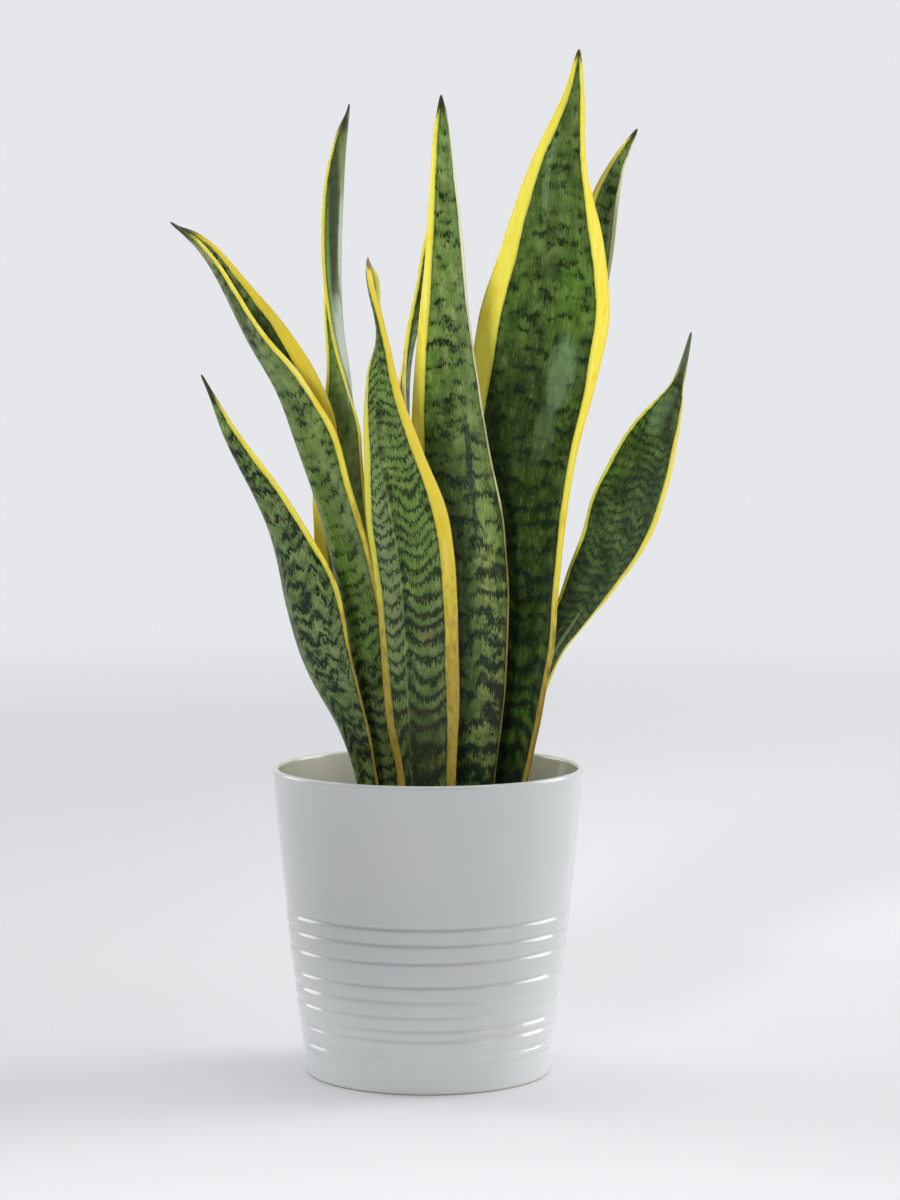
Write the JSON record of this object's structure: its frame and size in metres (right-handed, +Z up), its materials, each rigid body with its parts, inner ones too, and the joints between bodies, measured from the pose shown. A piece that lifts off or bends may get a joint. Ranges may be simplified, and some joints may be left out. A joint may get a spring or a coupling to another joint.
{
  "type": "variegated flat-leaved snake plant in a ribbed ceramic pot",
  "caption": "Upright potted succulent with flat, twisting sword leaves, dark cross bands and yellow margins, in a tapered white glazed pot ribbed round its lower half.",
  "frame": {"origin": "centre of the pot's flat underside", "axes": "+Z up out of the pot, the longest extent; the plant's front, as pictured, looks along -Y; +X to the right"},
  "size_m": [0.3172, 0.1967, 0.6271],
  "materials": {
    "glaze": "gloss",
    "potting_soil": "matte",
    "leaf": "satin"
  },
  "bodies": {
    "root": {"pot": "glaze", "soil": "potting_soil", "leaf_front": "leaf", "leaf_short_left": "leaf", "leaf_long_left": "leaf", "leaf_twisted": "leaf", "leaf_tall_middle": "leaf", "leaf_broad": "leaf", "leaf_back_right": "leaf", "leaf_back_middle": "leaf", "leaf_short_right": "leaf"}
  },
  "joints": []
}
